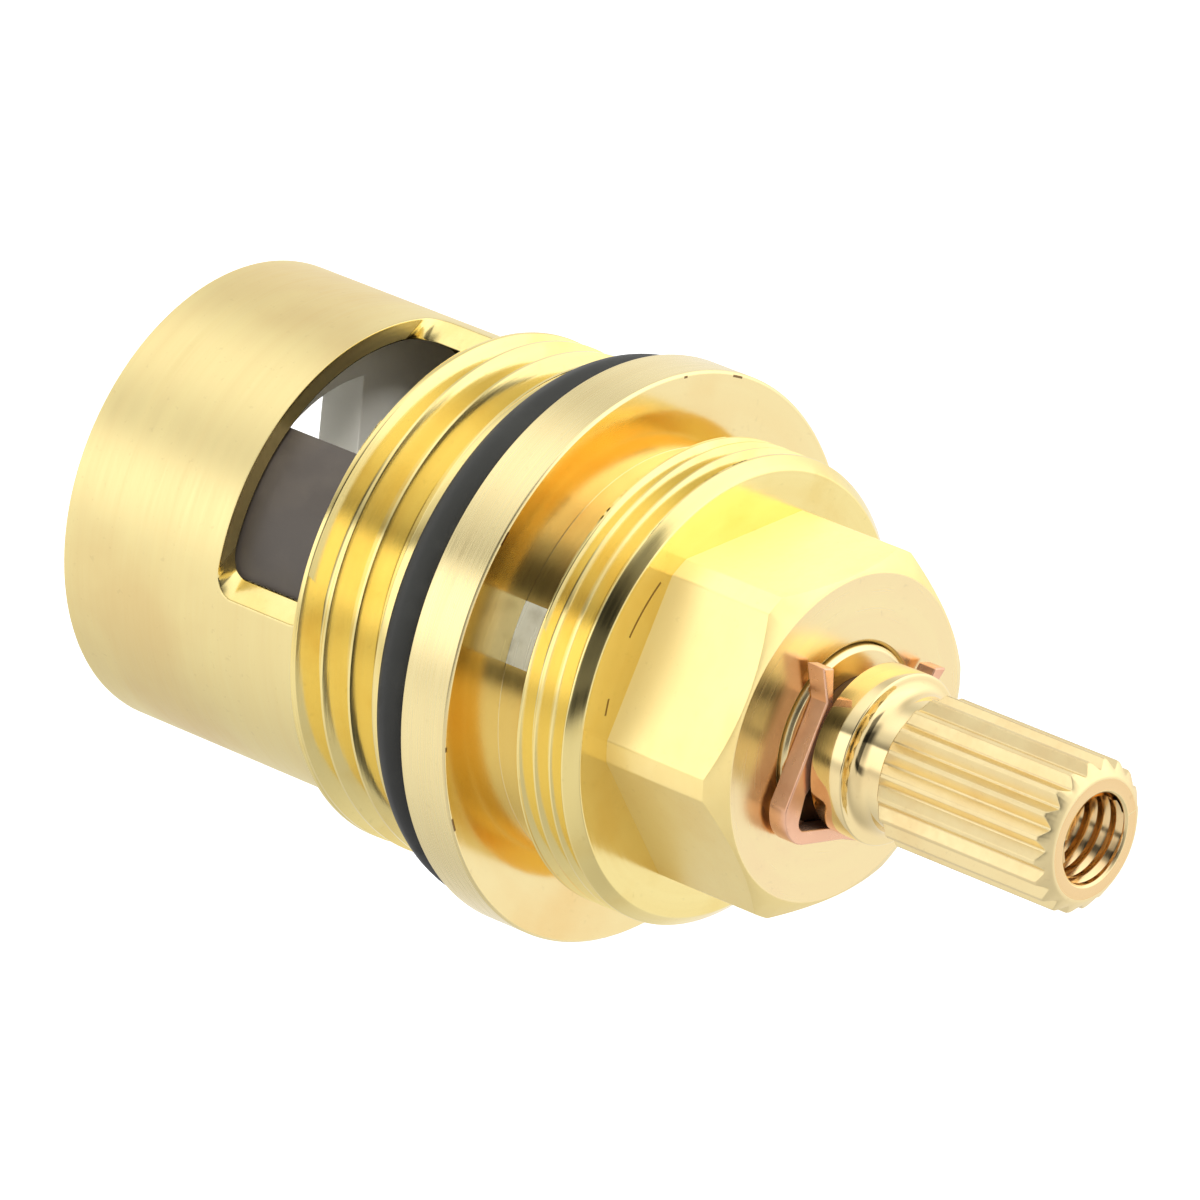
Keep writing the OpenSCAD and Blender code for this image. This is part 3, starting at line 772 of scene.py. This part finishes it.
shank = turned("brass_spindle", [
    (0.0, DRIVE_Z, 0), (DRIVE_R, DRIVE_Z, 0.15), (DRIVE_R, DRIVE_TOP, 0.15),
    (JOURNAL_R, DRIVE_TOP, 0.2), (JOURNAL_R, CLIP_Z - JOURNAL_EDGE),
    (JOURNAL_R - JOURNAL_EDGE, CLIP_Z), (CLIP_GROOVE_R, CLIP_Z, 0.08),
    (CLIP_GROOVE_R, COLLAR_Z, 0.08), (COLLAR_R, COLLAR_Z, 0.18), (COLLAR_R, NECK_Z, 0.2), *hollow,
    (NECK_R, SPLINE_Z + INTO_SPLINES), (SHANK_HOLE_R, SPLINE_Z + INTO_SPLINES),
    (SHANK_HOLE_R, HOLE_FLOOR, 0), (0.0, HOLE_FLOOR - DRILL_CONE, 0)])
tongue = block("tongue", (-TONGUE_HALF_L, -TONGUE_HALF_W, TONGUE_Z),
               (TONGUE_HALF_L, TONGUE_HALF_W, DRIVE_Z + INTO_DRIVE))
edit_all(tongue)
bpy.ops.mesh.bevel(offset=0.15 * MM, segments=2, affect="EDGES")
bpy.ops.object.mode_set(mode="OBJECT")
print("Shank:", len(shank.data.polygons), "faces")

# %% [markdown]
# The splines are a star of twenty teeth. A circle with four points to each tooth gives the narrow
# flats on tip and root. Each point is moved to its place in the tooth, and the star is pulled up.
# TOOTH_AZ is where the first tooth stands at the lower stop, and the rest is REST_TURN past it.

# %% Draw the splines
TEETH, TIP_R, ROOT_R, FLAT_SHARE = 20, 3.93, 3.45, 0.045
TOOTH_AZ, REST_TURN = 11.4, 48
CORNERS = (-FLAT_SHARE, FLAT_SHARE, 0.5 - FLAT_SHARE, 0.5 + FLAT_SHARE)
ROUNDING = 1e-4
deselect()
bpy.ops.mesh.primitive_circle_add(vertices=TEETH * len(CORNERS), radius=ROOT_R * MM,
                                  location=(0, 0, SPLINE_Z * MM), fill_type="NGON")
splines = bpy.context.object
splines.name = splines.data.name = "splines"
place_in_mesh(splines)
for vertex in splines.data.vertices:
    teeth_round = math.degrees(math.atan2(vertex.co.y, vertex.co.x)) / (360 / TEETH)
    corner = round(teeth_round % 1 * len(CORNERS)) % len(CORNERS)
    tooth = math.floor(teeth_round + ROUNDING)
    place = math.radians((tooth + CORNERS[corner]) * 360 / TEETH + TOOTH_AZ + REST_TURN)
    reach = TIP_R if corner < 2 else ROOT_R
    vertex.co.x, vertex.co.y = reach * MM * math.cos(place), reach * MM * math.sin(place)
edit_all(splines)
raised = (0, 0, (TIP_Z - SPLINE_Z) * MM)
bpy.ops.mesh.extrude_region_move(TRANSFORM_OT_translate={"value": raised})
bpy.ops.mesh.select_all(action="SELECT")
bpy.ops.mesh.normals_make_consistent(inside=False)
bpy.ops.object.mode_set(mode="OBJECT")
print("Splines:", TEETH, "teeth")

# %% [markdown]
# A turned envelope takes off the ends of the teeth: a short slope where they start, a cone at the
# tip, and the hole through them. The hole's screw thread is a ridge that points inwards.

# %% Trim the splines and tap the hole
TRIM_R, TRIM_RUN, TIP_FACE_R, TIP_CONE, HOLE_MOUTH = 3.87, 0.42, 3.12, 0.55, 0.12
START_GAP, NECK_GAP = 0.02, 0.3
SCREW_PITCH, SCREW_CREST_R, SCREW_CREST_Z, SCREW_END = 0.8, 2.09, 50, 0.2
SCREW_FOOT, SCREW_FLAT = (HOLE_R + 0.04, 0.33), (SCREW_CREST_R + 0.03, 0.07)
envelope = turned("envelope", [
    (HOLE_R, SPLINE_Z - 1, 0), (NECK_R - NECK_GAP, SPLINE_Z - 1, 0),
    (NECK_R - START_GAP, SPLINE_Z + START_GAP, 0), (TRIM_R, SPLINE_Z + TRIM_RUN, 0),
    (TRIM_R, TIP_Z - TIP_CONE, 0.12), (TIP_FACE_R, TIP_Z, 0.1), (HOLE_R + HOLE_MOUTH, TIP_Z, 0.03),
    (HOLE_R, TIP_Z - HOLE_MOUTH, 0)], steps=160)
boolean(splines, envelope, "INTERSECT")
bevel_hard_edges(splines, 0.04, angle=30, merge=0.01)
screw_section = [(SCREW_FOOT[0], -SCREW_FOOT[1]), (SCREW_FLAT[0], -SCREW_FLAT[1]),
                 (SCREW_CREST_R, 0.0), SCREW_FLAT, SCREW_FOOT]
screw_thread = thread("screw_thread", screw_section, SCREW_PITCH, SPLINE_Z, TIP_Z - SCREW_END,
                      SCREW_CREST_Z, 0, steps=96, closed_ends=False)
print("Trimmed splines:", len(splines.data.polygons), "faces")

# %% [markdown]
# The stem is matte from the hob that cut its teeth, and the neck and the collar are polished. The
# wall of the clip's groove and the corner that the closed end of the clip covers are painted nearly
# black: painted shade in the gap round the clip.

# %% Finishes along the spindle
PAINTED_SHADE_FROM = 60
HOLE_WALL_R, GROOVE_WALL_R, BESIDE_CLIP_R, UNDER_CLIP = HOLE_R + 0.03, 3.3, 4.7, 0.25
STEM, HOLE, NECK, PAINTED_SHADE, FACE = range(5)
for piece in (shank, tongue, splines):
    for finish in (stem_brass, hole_brass, neck_brass, painted_shade_brass, face_brass):
        piece.data.materials.append(finish)
for face in splines.data.polygons:
    face.material_index = HOLE if face.center.xy.length < HOLE_WALL_R * MM else STEM
for face in shank.data.polygons:
    height, radius = face.center.z / MM, face.center.xy.length / MM
    if height > CLIP_Z:
        face.material_index = HOLE if radius < HOLE_WALL_R else NECK
    # Painted shade: the groove's wall and the corner under the clip's closed end get the nearly
    # black finish.
    if CLIP_Z - UNDER_CLIP < height < COLLAR_Z - HAIR and radius < BESIDE_CLIP_R:
        azimuth = math.degrees(math.atan2(face.center.y, face.center.x))
        in_painted_shade = radius < GROOVE_WALL_R or azimuth > PAINTED_SHADE_FROM
        face.material_index = PAINTED_SHADE if in_painted_shade else FACE
screw_thread.data.materials.append(hole_brass)
smooth(shank)
smooth(splines, 28)
smooth(screw_thread, 40)
join(shank, tongue, splines, screw_thread)
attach(shank, "rotor")
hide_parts("spindle")
print("Spindle:", len(shank.data.polygons), "faces")

# %% [markdown]
# ## Retaining clip
# A strip of copper-coloured spring metal is pushed over the groove from one side. Its legs pinch
# the spindle and open outwards at their ends. One half of the outline is worked out here, first
# its outer edge from the flared tip to the back, then its inner edge, and then both are mirrored.

# %% The clip's outline
CLIP_T, CLIP_HALF_W, CLIP_BACK, CLIP_BACK_W = 1.1, 5.0, 4.95, 0.75
CLIP_DIP, CLIP_CORNER, CLIP_LEG_W, WAIST_W, REACH, FLARE = 0.25, 1.9, 1.25, 0.5, 2.2, 2.0
FLARE_ANGLE = math.radians(29)
BEARING_X = 3.22
waist_x = BEARING_X + WAIST_W / 3


def arc(centre, radius, start, end, steps):
    angles = [math.radians(start + (end - start) * i / steps) for i in range(steps + 1)]
    return [(centre[0] + radius * math.cos(a), centre[1] + radius * math.sin(a)) for a in angles]


tip = (waist_x + WAIST_W + FLARE * math.sin(FLARE_ANGLE), -REACH - FLARE * math.cos(FLARE_ANGLE))
outer = [(tip[0] - WAIST_W * 5 / 3, tip[1]), tip, (waist_x + WAIST_W, -REACH)]
outer += arc((CLIP_HALF_W - CLIP_CORNER, CLIP_BACK - CLIP_CORNER), CLIP_CORNER, 0, 90, 10)
outer += [(0, CLIP_BACK - CLIP_DIP)]
inner_x, inner_y = CLIP_HALF_W - CLIP_LEG_W, CLIP_BACK - CLIP_BACK_W
inner_corner = CLIP_BACK_W * 2 / 3
inner = [(0, inner_y - CLIP_DIP)]
inner += arc((inner_x - inner_corner, inner_y - inner_corner), inner_corner, 90, 0, 6)
inner += [(inner_x, CLIP_BACK / 2), (BEARING_X + WAIST_W / 2, CLIP_BACK * 0.4), (BEARING_X, 0),
          (waist_x, -REACH)]
outer_mirror = [(-x, y) for x, y in outer[-2::-1]]
inner_mirror = [(-x, y) for x, y in inner[::-1]]
outline = outer + outer_mirror + inner_mirror + inner[1:]
print("Clip outline:", len(outline), "points")

# %% [markdown]
# The outline is turned to the side from which the clip was pushed on, filled, pulled up to the
# strip's thickness and bevelled.

# %% The clip
CLIP_AZ = 130
turn_angle = math.radians(CLIP_AZ - 90)
flat = [(x * math.cos(turn_angle) - y * math.sin(turn_angle),
         x * math.sin(turn_angle) + y * math.cos(turn_angle), CLIP_Z) for x, y in outline]
clip = draw_path("spring_clip", flat + flat[:1])
edit_all(clip)
bpy.ops.mesh.edge_face_add()
bpy.ops.mesh.extrude_region_move(TRANSFORM_OT_translate={"value": (0, 0, CLIP_T * MM)})
bpy.ops.mesh.select_all(action="SELECT")
bpy.ops.mesh.normals_make_consistent(inside=False)
bpy.ops.object.mode_set(mode="OBJECT")
bevel_hard_edges(clip, 0.1, segments=3, merge=0.001)
clip_copper = metal("clip_copper", (0.94, 0.56, 0.37), (0.64, 0.30, 0.17), (0.26, 0.34), 3.0, 0.02,
                    stain_size=350.0, waver=1.0, metallic=0.91)
clip.data.materials.append(clip_copper)
smooth(clip, 35)
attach(clip, "rotor")
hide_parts("retaining_clip")
print("Clip:", len(clip.data.polygons), "faces")

# %% [markdown]
# ## Discs and hidden pieces
# The ceramic discs are pressed, fired and ground: matte and slightly mottled round the edge.
# Their CAD meshes have the right shape, so a merged copy only gets the small ground bevels. The
# backing ring is made the same way. The washer and the spindle's O-rings only get a finish.

# %% Ceramic, plastic and the bevelled copies
GROUND_BEVEL = 0.08


def plain_solid(name, colour, other, roughness, grain):
    material, net, shader = new_material(name)
    stains = use_group(net, STAINS, Size=grain, Cover=0.55)
    stain = stains.outputs["Stain"]
    net.links.new(mix_colour(net, stain, colour, other), shader.inputs["Base Color"])
    net.links.new(spread(net, stain, *roughness), shader.inputs["Roughness"])
    add_bump(net, shader, stains.outputs["Specks"], 0.15, 0.02)
    return material


def bevelled_copy(node, name, body_name, material):
    source = frame["nodes"][node]
    obj = bpy.data.objects.new(name, source.data.copy())
    bpy.context.scene.collection.objects.link(obj)
    obj.data.materials.clear()
    obj.data.materials.append(material)
    bevel_hard_edges(obj, GROUND_BEVEL, angle=40, merge=0.005)
    smooth(obj, 35)
    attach(obj, body_name)
    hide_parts(node)
    print(name, len(obj.data.polygons), "faces")


ceramic = plain_solid("disc_ceramic", (0.044, 0.036, 0.029), (0.058, 0.048, 0.038), (0.42, 0.55),
                      300.0)
pale_ceramic = plain_solid("pale_ceramic", (0.78, 0.76, 0.68), (0.84, 0.82, 0.74), (0.16, 0.24),
                           300.0)
pale_plastic = plain_solid("ring_plastic", (0.55, 0.55, 0.52), (0.62, 0.61, 0.58), (0.3, 0.4),
                           200.0)
bevelled_copy("moving_disc", "turning_disc", "rotor", ceramic)
bevelled_copy("fixed_disc", "still_disc", "housing", pale_ceramic)
bevelled_copy("seal_backing_ring", "backing_ring", "housing", pale_plastic)
for node, material in (("spindle_oring_upper", black_rubber),
                       ("spindle_oring_lower", black_rubber), ("glide_washer", pale_plastic)):
    frame["nodes"][node].data.materials.clear()
    frame["nodes"][node].data.materials.append(material)

# %% [markdown]
# ## Light
# Polished brass has hardly any colour of its own: it shows the room. So the room is made with
# care. Colour ramps give its brightness all the way round, as (azimuth, level) pairs: soft walls
# below, the lamps' side above them, a tall window in front, and a beam that darkens the front.

# %% Brightness round the room
ROOM = [(-180, 0.90), (-165, 1.00), (-147, 1.02), (-117, 1.00), (-87, 1.02), (-62, 0.55),
        (-42, 1.32), (-22, 1.30), (0, 1.22), (20, 1.00), (38, 1.00), (63, 1.00), (93, 1.04),
        (123, 0.80), (153, 0.62), (180, 0.90)]
UPPER = [(-180, 1.0), (-150, 1.0), (-110, 1.5), (-88, 1.7), (-60, 1.55), (-38, 1.4), (-20, 1.2),
         (-6, 0.4), (4, 0.08), (19, 0.06), (22, 0.5), (36, 0.55), (54, 0.85), (59, 0.12),
         (67, 0.12), (72, 0.85), (100, 0.85), (148, 0.6), (180, 1.0)]
WINDOW = [(-180, 1.0), (-20, 1.0), (4, 0.7), (19, 0.3), (22, 1.55), (50, 1.45), (62, 0.8),
          (75, 1.0), (180, 1.0)]
BEAM = [(-180, 1.0), (-46, 1.0), (-34, 0.2), (66, 0.2), (80, 1.0), (180, 1.0)]
HEADROOM = 2.0


def ramp_round(net, share, stops, curve="EASE"):
    """A spline ramp stops at 1, so it holds levels divided by HEADROOM, and is scaled after."""
    ramp = net.nodes.new("ShaderNodeValToRGB")
    ramp.color_ramp.interpolation = curve
    while len(ramp.color_ramp.elements) < len(stops):
        ramp.color_ramp.elements.new(0.5)
    for element, (degrees, level) in zip(ramp.color_ramp.elements, stops):
        held = level / HEADROOM
        element.position = degrees / 360 + 0.5
        element.color = (held, held, held, 1)
    net.links.new(share, ramp.inputs[0])
    scale = (HEADROOM, HEADROOM, HEADROOM)
    return mix_colour(net, 1.0, ramp.outputs[0], scale, "MULTIPLY")


world = bpy.data.worlds.new("studio")
bpy.context.scene.world = world
world.use_nodes = True
net = world.node_tree
net.nodes.clear()
axes = net.nodes.new("ShaderNodeSeparateXYZ")
net.links.new(net.nodes.new("ShaderNodeTexCoord").outputs["Generated"], axes.inputs[0])
azimuth = math_node(net, "ARCTAN2", axes.outputs[1], axes.outputs[0])
share = math_node(net, "ADD", math_node(net, "DIVIDE", azimuth, math.tau), 0.5)
walls = ramp_round(net, share, ROOM, "B_SPLINE")
print("Room:", len(ROOM), "levels round the part")

# %% [markdown]
# In front of the part stands a tall bright window with a dark gap on its left: together they draw
# the sharp light and dark marks on the threads, the relief and the collar. A dark beam hangs over
# the camera and shows in every bevel that faces forward. Heights are sines of an elevation,
# because that is what the direction's upward part holds.

# %% The lamps' side, the window, the beam and the ceiling
WHITE, CEILING_WHITE = (1.0, 1.0, 1.0), (0.95, 0.95, 0.95)


def height_of(degrees):
    return math.sin(math.radians(degrees))


def rising(low, high, to_low=0.0, to_high=1.0):
    return map_range(net, axes.outputs[2], low, high, to_low, to_high, soft=True)


lamps = ramp_round(net, share, UPPER)
ceiling = rising(height_of(66), height_of(76))
lamps = mix_colour(net, ceiling, lamps, CEILING_WHITE)
room = mix_colour(net, rising(-0.25, 0.4), walls, lamps)
window = ramp_round(net, share, WINDOW)
window = mix_colour(net, rising(-0.1, 0.5), window, WHITE)
above = rising(height_of(64), height_of(70))
below = rising(height_of(36), height_of(43), 1.0, 0.0)
off_beam = math_node(net, "MAXIMUM", above, below)
beam = mix_colour(net, off_beam, ramp_round(net, share, BEAM), WHITE)
room = mix_colour(net, 1.0, room, window, "MULTIPLY")
room = mix_colour(net, 1.0, room, beam, "MULTIPLY")
print("Lamps' side:", len(UPPER), "levels")

# %% [markdown]
# The camera itself sees plain white, and matte surfaces get an even soft light, because the
# room's pattern matters only in reflections.

# %% What the camera, the metal and the rubber see
SOFT_LIGHT = 0.8


def background(net, colour, strength=1.0):
    node = net.nodes.new("ShaderNodeBackground")
    feed(net, node.inputs["Color"], colour)
    node.inputs["Strength"].default_value = strength
    return node.outputs[0]


def mix_shaders(net, share, a, b):
    node = net.nodes.new("ShaderNodeMixShader")
    for socket, value in zip(node.inputs, (share, a, b)):
        net.links.new(value, socket)
    return node.outputs[0]


path = net.nodes.new("ShaderNodeLightPath")
mirror = math_node(net, "MAXIMUM", path.outputs["Is Glossy Ray"],
                   path.outputs["Is Transmission Ray"])
lit = mix_shaders(net, mirror, background(net, WHITE, SOFT_LIGHT), background(net, room))
seen = mix_shaders(net, path.outputs["Is Camera Ray"], lit, background(net, WHITE))
net.links.new(seen, net.nodes.new("ShaderNodeOutputWorld").inputs["Surface"])
print("World:", len(net.nodes), "nodes")

# %% [markdown]
# One large round lamp in front lights what isn't metal: rubber, ceramic and the milled flats,
# which are too rough to be a mirror. It isn't seen in the polished brass, where the room does
# that work. Its place and size are in metres.

# %% The lamp
LAMP_PLACE, LAMP_AIM = Vector((0.5, -0.13, 0.19)), Vector((0, 0, 0.03))
LAMP_SIZE, LAMP_WATTS = 0.25, 5.0
deselect()
bpy.ops.object.light_add(type="AREA", location=LAMP_PLACE)
lamp = bpy.context.object
lamp.name = lamp.data.name = "key_lamp"
lamp.data.shape = "DISK"
lamp.data.size = LAMP_SIZE
lamp.data.energy = LAMP_WATTS
lamp.rotation_euler = (LAMP_AIM - LAMP_PLACE).to_track_quat("-Z", "Y").to_euler()
lamp.visible_glossy = False
print("Lamp:", lamp.name, LAMP_WATTS, "W")

# %% [markdown]
# The floor is a pale disc well below the part, so that light also comes in through the inlet, as
# it does in the photograph, where the white background shows through the window and the port. To
# the camera it glows a little, so that it stays white, and reflections don't see it. Its place
# and size are in metres.

# %% Floor
FLOOR_R, FLOOR_Z, FLOOR_GLOW = 1.5, -0.03, 0.3
deselect()
bpy.ops.mesh.primitive_circle_add(vertices=96, radius=FLOOR_R, location=(0, 0, FLOOR_Z),
                                  fill_type="NGON")
floor = bpy.context.object
floor.name = floor.data.name = "floor"
place_in_mesh(floor)
floor_paint, net, shader = new_material("floor_paint")
shader.inputs["Base Color"].default_value = (0.95, 0.95, 0.95, 1)
shader.inputs["Roughness"].default_value = 0.9
path = net.nodes.new("ShaderNodeLightPath")
bright = net.nodes.new("ShaderNodeEmission")
glow = math_node(net, "MULTIPLY", path.outputs["Is Camera Ray"], FLOOR_GLOW)
net.links.new(glow, bright.inputs["Strength"])
pale = net.nodes.new("ShaderNodeAddShader")
net.links.new(shader.outputs[0], pale.inputs[0])
net.links.new(bright.outputs[0], pale.inputs[1])
clear = net.nodes.new("ShaderNodeBsdfTransparent")
seen = mix_shaders(net, path.outputs["Is Glossy Ray"], pale.outputs[0], clear.outputs[0])
net.links.new(seen, net.nodes["Material Output"].inputs["Surface"])
floor.data.materials.append(floor_paint)
print("Floor:", FLOOR_Z, "m")

# %% [markdown]
# ## Camera
# The camera's place was worked out from the circles in the photograph. It stands far away with a
# long lens, and it is rolled, because the part lies on its side in the picture. The lens is given
# in pixels of the photograph, as the fit gave it.

# %% Camera
PHOTO_WIDTH, FOCAL_LENGTH, SENSOR = 1200, 10731.45, 36.0
CAMERA_PLACE = (377.57, 187.43, 340.71)
CAMERA_RIGHT, CAMERA_BACK = (-0.3301, -0.5827, 0.7427), (0.7154, 0.3589, 0.5995)
camera_data = bpy.data.cameras.new("camera")
camera = bpy.data.objects.new("camera", camera_data)
bpy.context.scene.collection.objects.link(camera)
camera_data.sensor_width = SENSOR
camera_data.sensor_fit = "HORIZONTAL"
camera_data.lens = FOCAL_LENGTH / PHOTO_WIDTH * SENSOR
camera_data.clip_start = 0.01
back = Vector(CAMERA_BACK).normalized()
up = back.cross(Vector(CAMERA_RIGHT).normalized()).normalized()
right = up.cross(back)
camera_axes = Matrix((right, up, back)).transposed().to_4x4()
camera.matrix_world = Matrix.Translation(Vector(CAMERA_PLACE) * MM) @ camera_axes
bpy.context.scene.camera = camera
bpy.context.scene.view_settings.view_transform = "Standard"
print("Lens, mm:", camera_data.lens)
